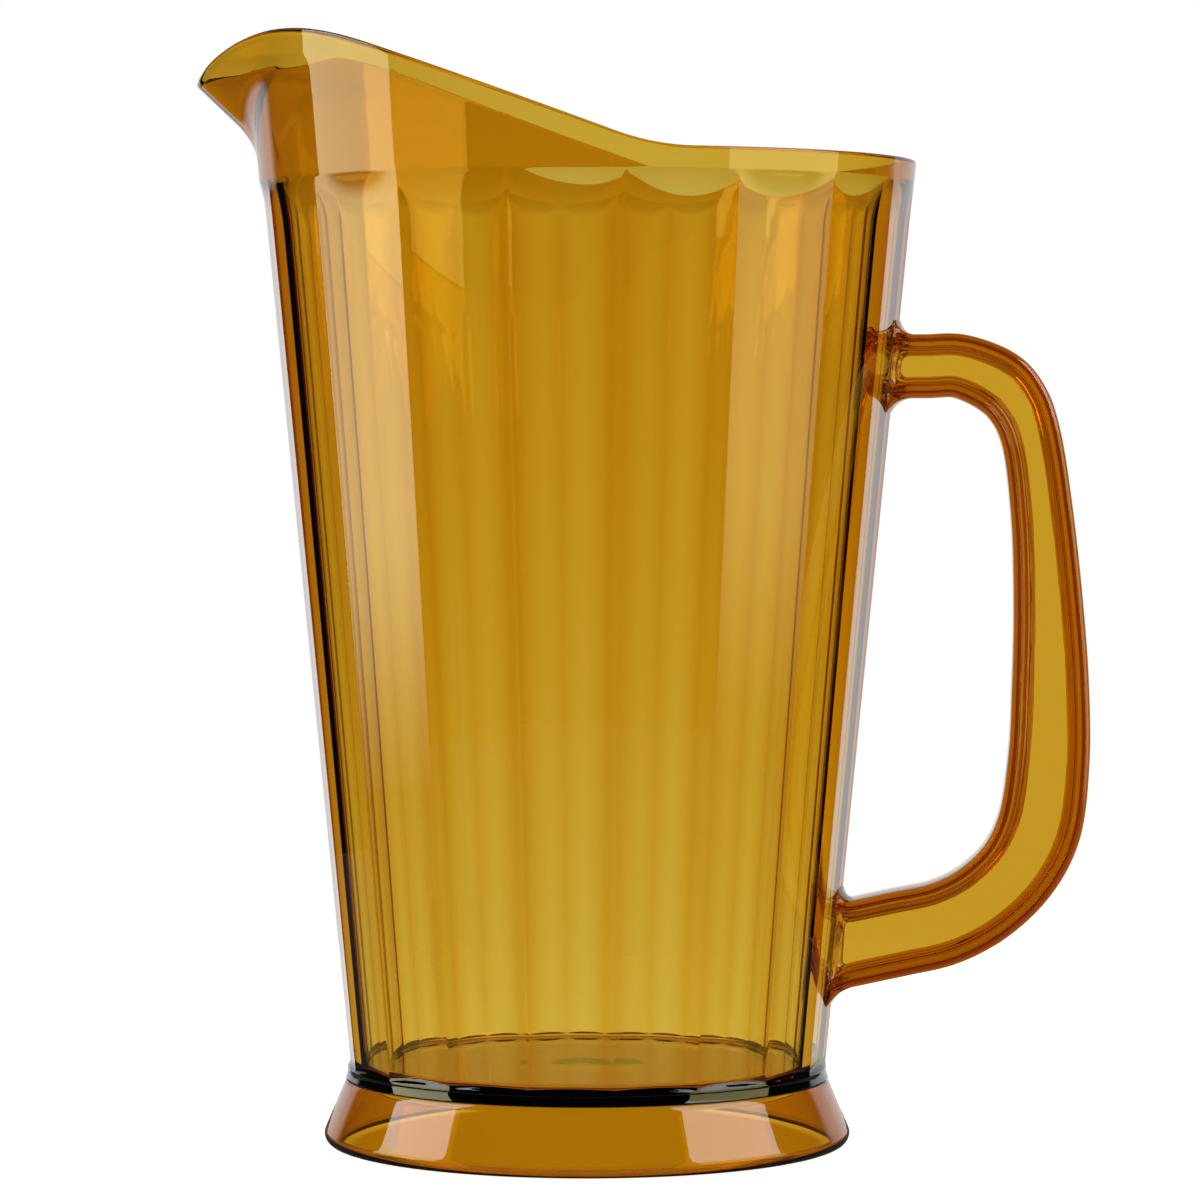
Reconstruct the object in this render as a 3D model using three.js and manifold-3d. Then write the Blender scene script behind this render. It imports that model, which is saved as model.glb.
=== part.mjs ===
// A see-through amber serving pitcher: a tapered vessel of flat sides with a smooth rim band and a
// pouring lip, a flared hollow foot, and a loop handle of I section.
// Millimetres, +Z up, the handle towards +X and the spout towards -X.

import * as THREE from 'three';
import { mergeVertices } from 'three/addons/utils/BufferGeometryUtils.js';
import Module from 'manifold-3d';

// Driving dimensions of the vessel, in millimetres and degrees
const FLUTES = 18; // flat sides, with one ridge under the spout and one under the handle
const RIM_RADIUS = 69.8; // outside of the rim band at the low rim
const RIM_HEIGHT = 208.45; // low rim, on the handle's side
const WALL_LEAN = 5.6; // how far the wall leans out from upright
const BAND_HEIGHT = 4.5; // smooth band below the low rim
const BAND_WALL = 3.7; // wall of the band at its lower edge, down to the round inside
const LIP_WALL = 2.8; // wall of the band at the crest of the spout
const LOW_WALL = 3; // from the band's cone to the round inside, at the floor
const RIDGE_INSET = 0.28; // how far the band stands proud of the ridges
const SHOULDER_BREAK = 3.5; // turn of the surface at the lower edge of the band
const SHOULDER_RADIUS = 18; // rounding of the band's underside, in section
const FLOOR = 3; // thickness of the floor
const GATE_RADIUS = 7; // round moulding mark under the floor
const GATE_DEPTH = 0.5;

// Driving dimensions of the spout and of the rim's line, seen from the side
const SPOUT_REACH = 83.4; // tip of the spout from the vessel's axis
const TIP_RISE = 16.95; // tip of the spout above the low rim
const KEEL_LEAN = 46.6; // lean of the spout's underside from upright
const KEEL_RADIUS = 4; // rounding of the spout's underside, in plan
const INNER_KEEL_RADIUS = 0.8; // rounding inside the spout, in plan
const FLANK_ANGLE = 54; // between the spout's side and its middle line, in plan
const CREST_REACH = 62; // highest point of the rim, from the axis
const CREST_RISE = 25.55; // highest point of the rim above the low rim
const CREST_PULL = 7.5; // roundness of the crest towards the slope
const LIP_PULL = 8; // roundness of the crest towards the tip
const LIP_LEAN = 36; // lean of the rim's line from upright at the tip
const LIP_END_PULL = 5.1; // how far the rim's line keeps that lean
const SLOPE_START = 17.75; // the rim starts to rise at this distance on the handle's side
const RIM_SLOPE = 19.9; // rise of the rim's line from level
const KNEE = 8; // rounding of the rim's line where the rise starts
const SLOPE_END = 40; // the straight rise ends at this distance on the spout's side

// Driving dimensions of the foot
const FOOT_HEIGHT = 14; // from the table to the bond face under the floor
const FOOT_RADIUS = 55.8;
const FOOT_FLARE = 22.5; // lean of the foot's side from upright
const FOOT_EDGE = 3; // rounding of the outer bottom edge
const FOOT_SEAT = 2.2; // width of the flat ring that the foot stands on
const FOOT_INNER_EDGE = 0.8; // rounding of the inner bottom edge
const FOOT_TOP_WALL = 4; // width of the bond face
const WAIST_FILLET = 6; // hollow rounding between foot and wall

// Driving dimensions of the handle
const HANDLE_WIDTH = 14; // across the flanges
const WEB = 4.5; // thickness of the web between the two recesses
// Middle line of the handle in side view, from the upper arm to the lower arm:
// distance out from the wall's ridge, height, and depth of the section
const HANDLE_LINE = [
  [6.7, 165.2, 13.5],
  [13.7, 165.2, 13.5],
  [22.6, 161.5, 14.1],
  [27, 156.9, 13.5],
  [30.2, 150.2, 12.7],
  [34, 134.8, 13.1],
  [37.3, 115.6, 14.6],
  [39.5, 98.4, 16.2],
  [40.8, 82, 17.2],
  [40.1, 67.4, 17.8],
  [36.5, 58.7, 17.5],
  [29.8, 51.6, 17.5],
  [22.1, 47.4, 17.8],
  [12.5, 45.1, 18],
];
const TOP_FLANGE = 3.8; // thickness of the flanges on the upper arm
const LOW_FLANGE = 4.2; // thickness of the flanges on the lower arm
const FLANGE_ROUND = 2.6; // rounding of the flanges' outer edges
const RECESS_ROUND = 1; // rounding of the recess at the web
const ROOT_FILLET = 4.6; // flare of the arms where they meet the wall
const ROOT_SINK = 12; // how far the arms run into the wall before they are notched
const ROOT_WALL = 1.2; // wall between the end of a recess and the vessel
const BOND_GAP = 0.3; // room for the bond between handle and wall

// How finely round shapes are divided
const ROUND_STEPS = 72;
const SHOULDER_STEPS = 5;
const SPOUT_LEVELS = 9;
const KEEL_STEPS = 4;
const EDGE_STEPS = 4;
const RIM_STEPS = 10;
const HANDLE_STEPS = 39;
const RECESS_END_STEPS = 6;
const BEVEL_STEPS = 3;

const wasm = await Module();
wasm.setup();

const { degToRad } = THREE.MathUtils;
const { asin, cos, max, min, sin, sqrt, tan } = Math;
const HALF_FLUTE = Math.PI / FLUTES;
const LEAN = tan(degToRad(WALL_LEAN));
const SHOULDER_HEIGHT = RIM_HEIGHT - BAND_HEIGHT;
const TIP_HEIGHT = RIM_HEIGHT + TIP_RISE;
const CREST_HEIGHT = RIM_HEIGHT + CREST_RISE;
const FLOOR_HEIGHT = FOOT_HEIGHT + FLOOR;
const BLANK_HEIGHT = CREST_HEIGHT + KNEE;
const PIECE_MATERIAL = { color: 0xb8860f, roughness: 0.06, metalness: 0, transparent: true, opacity: 0.75 };

/** Outside radius of the band's cone at a height. */
function bandRadius(z) {
  return RIM_RADIUS + (z - RIM_HEIGHT) * LEAN;
}

/** Outside radius over the ridges at a height. */
function ridgeRadius(z) {
  return bandRadius(z) - RIDGE_INSET;
}

/** Wall between the band's cone and the round inside: it thins from the shoulder to crest and floor. */
function bandWall(z) {
  const rise = (z - SHOULDER_HEIGHT) / (CREST_HEIGHT - SHOULDER_HEIGHT);
  const fall = (SHOULDER_HEIGHT - z) / (SHOULDER_HEIGHT - FLOOR_HEIGHT);
  return BAND_WALL + (LIP_WALL - BAND_WALL) * max(0, rise) + (LOW_WALL - BAND_WALL) * max(0, fall);
}

/** Inside radius of the vessel at a height. */
function innerRadius(z) {
  return bandRadius(z) - bandWall(z);
}

/** A closed geometry as a solid that can be joined and cut, with its faces pointing out. */
function toSolid(geometry) {
  const bare = new THREE.BufferGeometry();
  bare.setAttribute('position', geometry.getAttribute('position').clone());
  bare.setIndex(geometry.getIndex());
  const merged = mergeVertices(bare);
  const points = merged.getAttribute('position');
  const index = merged.getIndex().array;
  const triangles = [];
  let volume = 0;
  const [a, b, c] = [new THREE.Vector3(), new THREE.Vector3(), new THREE.Vector3()];
  for (let i = 0; i < index.length; i += 3) {
    const [p, q, r] = index.slice(i, i + 3);
    // A triangle that closes to a line on the axis is left out.
    if (p === q || q === r || r === p) continue;
    triangles.push([p, q, r]);
    a.fromBufferAttribute(points, p);
    b.fromBufferAttribute(points, q);
    c.fromBufferAttribute(points, r);
    volume += a.dot(b.cross(c));
  }
  const faces = volume < 0 ? triangles.map(([p, q, r]) => [p, r, q]) : triangles;
  const mesh = new wasm.Mesh({
    numProp: 3,
    vertProperties: new Float32Array(points.array),
    triVerts: new Uint32Array(faces.flat()),
  });
  return new wasm.Manifold(mesh);
}

/** A solid as a named mesh with a material of its own. */
function toMesh(name, solid) {
  const { vertProperties, triVerts } = solid.getMesh();
  const geometry = new THREE.BufferGeometry();
  geometry.setAttribute('position', new THREE.BufferAttribute(vertProperties, 3));
  geometry.setIndex(new THREE.BufferAttribute(triVerts, 1));
  geometry.computeVertexNormals();
  const mesh = new THREE.Mesh(geometry, new THREE.MeshStandardMaterial(PIECE_MATERIAL));
  mesh.name = name;
  return mesh;
}

/** A tapered solid of flat sides between two heights, with one ridge towards +X. */
function flutedSolid(radiusAt, low, high) {
  const geometry = new THREE.CylinderGeometry(
    radiusAt(high), radiusAt(low), high - low, FLUTES, 1, false, Math.PI / 2);
  geometry.rotateX(Math.PI / 2);
  geometry.translate(0, 0, (low + high) / 2);
  return toSolid(geometry);
}

/** A solid of revolution about Z from a closed profile of [radius, height] pairs. */
function revolved(profile) {
  const geometry = new THREE.LatheGeometry(profile.map(([r, z]) => new THREE.Vector2(r, z)), ROUND_STEPS);
  geometry.rotateX(Math.PI / 2);
  return toSolid(geometry);
}

/** Points of an arc as [radius, height] pairs, from one angle to another in degrees. */
function arc(centre, radius, from, to, steps) {
  return Array.from({ length: steps + 1 }, (_, i) => {
    const angle = degToRad(from + ((to - from) * i) / steps);
    return [centre[0] + radius * cos(angle), centre[1] + radius * sin(angle)];
  });
}

/** A solid through a stack of convex rings that have the same number of points. */
function lofted(rings) {
  const size = rings[0].length;
  const index = [];
  for (let level = 0; level + 1 < rings.length; level += 1) {
    for (let i = 0; i < size; i += 1) {
      const [a, b] = [level * size + i, level * size + ((i + 1) % size)];
      index.push(a, b, b + size, a, b + size, a + size);
    }
  }
  const top = (rings.length - 1) * size;
  for (let i = 1; i + 1 < size; i += 1) {
    index.push(0, i + 1, i, top, top + i, top + i + 1);
  }
  const geometry = new THREE.BufferGeometry().setFromPoints(rings.flat());
  geometry.setIndex(index);
  return toSolid(geometry);
}

/** A solid from a shape drawn in the XZ plane, between two distances along Y, with rounded edges. */
function plateAcrossY(shape, low, high, round) {
  const geometry = new THREE.ExtrudeGeometry(shape, {
    depth: high - low - 2 * round,
    bevelEnabled: round > 0,
    bevelThickness: round,
    bevelSize: round,
    bevelOffset: -round,
    bevelSegments: BEVEL_STEPS,
    curveSegments: EDGE_STEPS,
  });
  geometry.rotateX(Math.PI / 2);
  geometry.translate(0, high - round, 0);
  return toSolid(geometry);
}

/** How far the underside of the band draws in at a depth below its edge. */
function shoulderInset(depth) {
  return depth * tan(degToRad(SHOULDER_BREAK)) + depth ** 2 / (2 * SHOULDER_RADIUS);
}

/** The round upper part of the vessel: a cone with a rounded underside that runs out on the flat sides. */
function bandSolid() {
  const slope = tan(degToRad(SHOULDER_BREAK));
  const flat = bandRadius(SHOULDER_HEIGHT) - ridgeRadius(SHOULDER_HEIGHT) * cos(HALF_FLUTE) + RIDGE_INSET;
  const drop = SHOULDER_RADIUS * (sqrt(slope ** 2 + (2 * flat) / SHOULDER_RADIUS) - slope);
  const profile = [[0, SHOULDER_HEIGHT - drop]];
  for (let i = SHOULDER_STEPS; i >= 0; i -= 1) {
    const depth = (drop * i) / SHOULDER_STEPS;
    profile.push([bandRadius(SHOULDER_HEIGHT - depth) - shoulderInset(depth), SHOULDER_HEIGHT - depth]);
  }
  profile.push([bandRadius(BLANK_HEIGHT), BLANK_HEIGHT], [0, BLANK_HEIGHT]);
  return revolved(profile);
}

/** The round space inside the vessel, from the floor to above the rim. */
function hollowSolid() {
  const levels = [FLOOR_HEIGHT, SHOULDER_HEIGHT, BLANK_HEIGHT];
  return revolved([[0, FLOOR_HEIGHT], ...levels.map((z) => [innerRadius(z), z]), [0, BLANK_HEIGHT]]);
}

/** The wedge of the spout, or of its hollow, that joins the band: a rounded keel between two sides. */
function spoutSolid(wallAt, keelRadius) {
  const keelSlope = tan(degToRad(KEEL_LEAN));
  const start = TIP_HEIGHT - (SPOUT_REACH - RIM_RADIUS) / keelSlope - KNEE;
  const rings = [];
  for (let level = 0; level <= SPOUT_LEVELS; level += 1) {
    const z = start + ((BLANK_HEIGHT - start) * level) / SPOUT_LEVELS;
    const keel = SPOUT_REACH + (z - TIP_HEIGHT) * keelSlope;
    const flank = degToRad(FLANK_ANGLE);
    const sharp = keel + KEEL_RADIUS * (1 / sin(flank) - 1);
    const side = min(flank, asin(min(1, bandRadius(z) / sharp)));
    const tip = sharp - wallAt(z) / sin(side);
    const centre = tip - keelRadius / sin(side);
    const foot = tip * sin(side);
    const ring = [new THREE.Vector3(0, 0, z), new THREE.Vector3(-foot * sin(side), foot * cos(side), z)];
    for (let i = 0; i <= KEEL_STEPS; i += 1) {
      const angle = (Math.PI / 2 - side) * (1 - (2 * i) / KEEL_STEPS);
      ring.push(new THREE.Vector3(-centre - keelRadius * cos(angle), keelRadius * sin(angle), z));
    }
    ring.push(new THREE.Vector3(-foot * sin(side), -foot * cos(side), z));
    rings.push(ring);
  }
  return lofted(rings);
}

/** The space above the rim's line, which is straight across Y. */
function spaceAboveRim() {
  const far = 2 * SPOUT_REACH;
  const rise = tan(degToRad(RIM_SLOPE));
  const lineHeight = (x) => RIM_HEIGHT + (SLOPE_START - x) * rise;
  const lean = degToRad(LIP_LEAN);
  const shape = new THREE.Shape();
  shape.moveTo(far, RIM_HEIGHT);
  shape.lineTo(SLOPE_START + KNEE, RIM_HEIGHT);
  shape.quadraticCurveTo(SLOPE_START, RIM_HEIGHT, SLOPE_START - KNEE, lineHeight(SLOPE_START - KNEE));
  shape.lineTo(-SLOPE_END, lineHeight(-SLOPE_END));
  shape.bezierCurveTo(
    -SLOPE_END - CREST_PULL, lineHeight(-SLOPE_END - CREST_PULL),
    -CREST_REACH + CREST_PULL, CREST_HEIGHT, -CREST_REACH, CREST_HEIGHT);
  shape.bezierCurveTo(
    -CREST_REACH - LIP_PULL, CREST_HEIGHT,
    -SPOUT_REACH + LIP_END_PULL * sin(lean), TIP_HEIGHT + LIP_END_PULL * cos(lean),
    -SPOUT_REACH, TIP_HEIGHT);
  shape.lineTo(-SPOUT_REACH - KNEE * sin(lean), TIP_HEIGHT - KNEE * cos(lean));
  shape.lineTo(-far, TIP_HEIGHT);
  shape.lineTo(-far, 2 * CREST_HEIGHT);
  shape.lineTo(far, 2 * CREST_HEIGHT);
  const options = { depth: 2 * far, bevelEnabled: false, curveSegments: RIM_STEPS };
  const geometry = new THREE.ExtrudeGeometry(shape, options);
  geometry.rotateX(Math.PI / 2);
  geometry.translate(0, far, 0);
  return toSolid(geometry);
}

/** Outside radius of the foot's sloping side at a height. */
function footSide(z) {
  const flare = degToRad(FOOT_FLARE);
  const edge = [FOOT_RADIUS - FOOT_EDGE + FOOT_EDGE * cos(flare), FOOT_EDGE + FOOT_EDGE * sin(flare)];
  return edge[0] - (z - edge[1]) * tan(flare);
}

/** The round skirt of the vessel above the bond face, hollowed in towards the wall. */
function waistSolid() {
  const flare = degToRad(FOOT_FLARE);
  const centre = [
    footSide(FOOT_HEIGHT) + WAIST_FILLET * cos(flare),
    FOOT_HEIGHT + WAIST_FILLET * sin(flare),
  ];
  const hollow = arc(centre, WAIST_FILLET, 180 + FOOT_FLARE, 180 - WALL_LEAN, EDGE_STEPS);
  const top = hollow.at(-1)[1];
  return revolved([[0, FOOT_HEIGHT], ...hollow, [innerRadius(top), top + FLOOR], [0, top + FLOOR]]);
}

/** The vessel: fluted wall, floor, band and spout, hollowed out and cut to the rim's line. */
function vessel() {
  const outside = flutedSolid(ridgeRadius, FOOT_HEIGHT, SHOULDER_HEIGHT)
    .add(waistSolid())
    .add(bandSolid())
    .add(spoutSolid(() => 0, KEEL_RADIUS));
  const hollow = hollowSolid().add(spoutSolid(bandWall, INNER_KEEL_RADIUS));
  const gate = revolved([
    [0, FOOT_HEIGHT - GATE_DEPTH],
    [GATE_RADIUS, FOOT_HEIGHT - GATE_DEPTH],
    [GATE_RADIUS - GATE_DEPTH, FOOT_HEIGHT + GATE_DEPTH],
    [0, FOOT_HEIGHT + GATE_DEPTH],
  ]);
  return toMesh('vessel', outside.subtract(hollow).subtract(spaceAboveRim()).subtract(gate));
}

/** The foot: a flared ring, rounded at the edges that it stands on, flat on top for the bond. */
function footRing() {
  const outerCentre = [FOOT_RADIUS - FOOT_EDGE, FOOT_EDGE];
  const outerEdge = arc(outerCentre, FOOT_EDGE, -90, FOOT_FLARE, EDGE_STEPS);
  const innerRadius = FOOT_RADIUS - FOOT_EDGE - FOOT_SEAT;
  const innerEdge = arc([innerRadius, FOOT_INNER_EDGE], FOOT_INNER_EDGE, -180, -90, EDGE_STEPS);
  const topRadius = footSide(FOOT_HEIGHT);
  const profile = [
    ...innerEdge,
    ...outerEdge,
    [topRadius, FOOT_HEIGHT],
    [topRadius - FOOT_TOP_WALL, FOOT_HEIGHT],
  ];
  return toMesh('foot_ring', revolved([...profile, profile[0]]));
}

/** Points along the middle of the handle, each with its outward normal, depth and flange thickness. */
function handleStations() {
  const points = HANDLE_LINE.map(([out, z, depth]) => new THREE.Vector3(ridgeRadius(z) + out, z, depth));
  const line = new THREE.CatmullRomCurve3(points);
  return Array.from({ length: HANDLE_STEPS + 1 }, (_, i) => {
    const t = i / HANDLE_STEPS;
    const { x, y, z } = line.getPoint(t);
    const along = line.getTangent(t);
    const tangent = new THREE.Vector2(along.x, along.y).normalize();
    return {
      point: new THREE.Vector2(x, y),
      tangent,
      normal: new THREE.Vector2(-tangent.y, tangent.x),
      depth: z,
      flange: TOP_FLANGE + (LOW_FLANGE - TOP_FLANGE) * t,
    };
  });
}

/** Where a line from a point meets the wall's ridge, moved out from the ridge by a distance. */
function meetRidge(point, direction, distance = 0) {
  const gap = ridgeRadius(point.y) + distance - point.x;
  return point.clone().addScaledVector(direction, gap / (direction.x - direction.y * LEAN));
}

/** Corners of one flared root: on the ridge, where the arm meets it, and out on the arm. */
function rootFlare(station, side, inwards, up) {
  const edge = station.point.clone().addScaledVector(station.normal, (side * station.depth) / 2);
  const corner = meetRidge(edge, inwards);
  const alongRidge = new THREE.Vector2(LEAN, 1).normalize();
  return {
    onRidge: corner.clone().addScaledVector(alongRidge, up * ROOT_FILLET),
    corner,
    onArm: corner.clone().addScaledVector(inwards, -ROOT_FILLET),
  };
}

/** The handle's side view: the loop with a flare at each of its four meetings with the wall. */
function handleShape(stations) {
  const [first, last] = [stations[0], stations.at(-1)];
  const [topIn, lowIn] = [first.tangent.clone().negate(), last.tangent];
  const topOuter = rootFlare(first, 1, topIn, 1);
  const topInner = rootFlare(first, -1, topIn, -1);
  const lowOuter = rootFlare(last, 1, lowIn, -1);
  const lowInner = rootFlare(last, -1, lowIn, 1);
  const edgePoint = (s, side) => s.point.clone().addScaledVector(s.normal, (side * s.depth) / 2);
  const sunk = (flare) => [flare.onRidge.x - ROOT_SINK, flare.onRidge.y];
  const shape = new THREE.Shape();
  shape.moveTo(...sunk(topOuter));
  shape.lineTo(topOuter.onRidge.x, topOuter.onRidge.y);
  shape.quadraticCurveTo(topOuter.corner.x, topOuter.corner.y, topOuter.onArm.x, topOuter.onArm.y);
  stations.map((s) => edgePoint(s, 1)).forEach((p) => shape.lineTo(p.x, p.y));
  shape.lineTo(lowOuter.onArm.x, lowOuter.onArm.y);
  shape.quadraticCurveTo(lowOuter.corner.x, lowOuter.corner.y, lowOuter.onRidge.x, lowOuter.onRidge.y);
  shape.lineTo(...sunk(lowOuter));
  shape.lineTo(...sunk(lowInner));
  shape.lineTo(lowInner.onRidge.x, lowInner.onRidge.y);
  shape.quadraticCurveTo(lowInner.corner.x, lowInner.corner.y, lowInner.onArm.x, lowInner.onArm.y);
  stations.map((s) => edgePoint(s, -1)).reverse().forEach((p) => shape.lineTo(p.x, p.y));
  shape.lineTo(topInner.onArm.x, topInner.onArm.y);
  shape.quadraticCurveTo(topInner.corner.x, topInner.corner.y, topInner.onRidge.x, topInner.onRidge.y);
  shape.lineTo(...sunk(topInner));
  return shape;
}

/** The recess between the flanges, seen from the side, with a round end near each root. */
function recessShape(stations) {
  const half = (s) => s.depth / 2 - s.flange;
  const [first, last] = [stations[0], stations.at(-1)];
  const points = [];
  const addEnd = (station, outwards) => {
    const radius = half(station);
    const centre = meetRidge(station.point, outwards, ROOT_WALL + radius);
    for (let i = 0; i <= RECESS_END_STEPS; i += 1) {
      const angle = (Math.PI * i) / RECESS_END_STEPS;
      const across = outwards === last.tangent ? cos(angle) : -cos(angle);
      points.push(centre.clone()
        .addScaledVector(station.normal, radius * across)
        .addScaledVector(outwards, radius * sin(angle)));
    }
  };
  stations.forEach((s) => points.push(s.point.clone().addScaledVector(s.normal, half(s))));
  addEnd(last, last.tangent);
  stations.toReversed().forEach((s) => points.push(s.point.clone().addScaledVector(s.normal, -half(s))));
  addEnd(first, first.tangent.clone().negate());
  return new THREE.Shape(points);
}

/** The handle: the loop with both recesses cut in, notched over the ridge of the wall. */
function handle() {
  const stations = handleStations();
  const loop = plateAcrossY(handleShape(stations), -HANDLE_WIDTH / 2, HANDLE_WIDTH / 2, FLANGE_ROUND);
  const recess = recessShape(stations);
  const open = HANDLE_WIDTH + WEB;
  const wall = flutedSolid((z) => ridgeRadius(z) + BOND_GAP / cos(HALF_FLUTE), FOOT_HEIGHT, SHOULDER_HEIGHT);
  return toMesh('handle', loop
    .subtract(plateAcrossY(recess, WEB / 2, open, RECESS_ROUND))
    .subtract(plateAcrossY(recess, -open, -WEB / 2, RECESS_ROUND))
    .subtract(wall));
}

// The origin is below the middle of the whole object, so the vessel's axis lies off it.
const pitcher = new THREE.Group();
pitcher.add(vessel(), footRing(), handle());
pitcher.position.x = -new THREE.Box3().setFromObject(pitcher).getCenter(new THREE.Vector3()).x;

export default pitcher;
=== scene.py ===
"""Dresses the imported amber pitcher: a see-through vessel, its foot and its handle on a white ground.

The pitcher's sizes are in millimetres about the vessel's own upright axis, with the handle towards +X and
the spout towards -X. Its angles are written in degrees. Its meshes are moved onto that axis and turned to
metres when they are made. The studio is in metres.
"""

import logging
import math
from collections.abc import Callable
from dataclasses import dataclass, field
from enum import Enum

import bpy
import numpy as np
from mathutils import Matrix, Vector


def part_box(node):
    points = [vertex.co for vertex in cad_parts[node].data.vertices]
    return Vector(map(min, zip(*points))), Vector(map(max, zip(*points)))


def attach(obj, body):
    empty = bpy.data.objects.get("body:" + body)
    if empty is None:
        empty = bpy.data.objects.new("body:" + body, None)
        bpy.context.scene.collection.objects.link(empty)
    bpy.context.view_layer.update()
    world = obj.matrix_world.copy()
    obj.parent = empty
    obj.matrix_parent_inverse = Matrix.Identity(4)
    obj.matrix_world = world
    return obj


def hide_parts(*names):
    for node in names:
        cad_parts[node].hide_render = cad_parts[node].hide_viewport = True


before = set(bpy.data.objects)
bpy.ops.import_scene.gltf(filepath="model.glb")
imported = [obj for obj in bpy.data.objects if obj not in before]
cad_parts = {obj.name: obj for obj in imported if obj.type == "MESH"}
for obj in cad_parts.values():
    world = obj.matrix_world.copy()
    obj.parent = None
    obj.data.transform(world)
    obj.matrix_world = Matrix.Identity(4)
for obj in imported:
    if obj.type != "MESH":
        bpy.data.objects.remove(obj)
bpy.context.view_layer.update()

MM = 0.001

# How far the foot's side leans out, in degrees, which the waist above it follows
FOOT_FLARE = 22.5

# The lit backdrop lies towards +Y: its level, and the cosines of the angles at which it is full and ends
BACKDROP_LEVEL = 0.8
BACKDROP_FULL = math.cos(math.radians(40))
BACKDROP_EDGE = math.cos(math.radians(45))

Skin = Callable[[np.ndarray, np.ndarray], np.ndarray]
log = logging.getLogger("pitcher")


class Node(Enum):
    """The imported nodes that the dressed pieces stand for."""

    VESSEL = "vessel"
    FOOT = "foot_ring"
    HANDLE = "handle"


class Slot(Enum):
    """Names of the material slots."""

    AMBER_SAN = "amber_san"


class End(Enum):
    """The two ends of a stack of rings."""

    FIRST = "first"
    LAST = "last"


class RimEdge(Enum):
    """The two rounded edges of the rim, each with the sign of the way in from its skin."""

    OUTER = 1
    INNER = -1


class LampKind(Enum):
    """Panels are dimmed at their lower edge and hidden through the plastic. Softboxes are even and show."""

    PANEL = "panel"
    SOFTBOX = "softbox"


def linear(colour: str) -> tuple[float, float, float, float]:
    """Turns an sRGB hex colour to linear light.

    Args:
        colour: Six hex digits after a hash sign.

    Returns:
        Red, green and blue in linear light, and an alpha of 1.
    """
    shares = [int(colour[i : i + 2], 16) / 255 for i in (1, 3, 5)]
    red, green, blue = (s / 12.92 if s <= 0.04045 else ((s + 0.055) / 1.055) ** 2.4 for s in shares)
    return red, green, blue, 1.0


def empty_tree(owner: bpy.types.ID) -> bpy.types.NodeTree:
    """Gives a material, a world or a lamp a node tree with nothing in it.

    Args:
        owner: The material, world or lamp.

    Returns:
        Its empty node tree.
    """
    owner.use_nodes = True
    owner.node_tree.nodes.clear()
    return owner.node_tree


def add_node(
    tree: bpy.types.NodeTree, kind: str, values: dict | None = None, **settings: object
) -> bpy.types.Node:
    """Adds a node to a tree with its settings, and fills or links its inputs.

    Args:
        tree: The node tree of a material, of the world or of a lamp.
        kind: Blender's name for the node.
        values: Input names or numbers, each with a plain value or with the output socket to link to it.
        settings: Attributes of the node.

    Returns:
        The new node.
    """
    node = tree.nodes.new(kind)
    for name, value in settings.items():
        setattr(node, name, value)
    for key, value in (values or {}).items():
        if isinstance(value, bpy.types.NodeSocket):
            tree.links.new(value, node.inputs[key])
        else:
            node.inputs[key].default_value = value
    return node


def smooth_max(a: np.ndarray, b: np.ndarray, width: float | np.ndarray) -> np.ndarray:
    """The larger of two values, with a rounded change from one to the other.

    Args:
        a: First values.
        b: Second values.
        width: Difference below which the two blend.

    Returns:
        The blended values, never below the larger one.
    """
    share = np.maximum(width - np.abs(a - b), 0) / width
    return np.maximum(a, b) + share**2 * width / 4


def smooth_step(x: np.ndarray, low: float, high: float) -> np.ndarray:
    """Rises smoothly from 0 at low to 1 at high."""
    t = np.clip((x - low) / (high - low), 0, 1)
    return t * t * (3 - 2 * t)


def arc_points(
    centre: tuple[float, float], radius: float, start: float, end: float, steps: int
) -> np.ndarray:
    """Points of an arc in a radius and height plane.

    Args:
        centre: Radius and height of the arc's centre.
        radius: Radius of the arc.
        start: Angle of the first point, in degrees.
        end: Angle of the last point, in degrees.
        steps: Number of equal steps.

    Returns:
        One row of radius and height for each point.
    """
    angles = np.radians(np.linspace(start, end, steps + 1))
    return np.column_stack([centre[0] + radius * np.cos(angles), centre[1] + radius * np.sin(angles)])


def bezier(*points: tuple[float, float], count: int = 24) -> np.ndarray:
    """Points along a smooth curve that runs from the first point to the last.

    Args:
        points: The first point, the points that pull the curve, and the last point.
        count: Number of points along the curve.

    Returns:
        One row of x and height for each point.
    """
    t = np.linspace(0, 1, count)[:, None]
    last = len(points) - 1
    shares = [math.comb(last, k) * (1 - t) ** (last - k) * t**k for k in range(last + 1)]
    return sum(share * np.array(point) for share, point in zip(shares, points))


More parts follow.
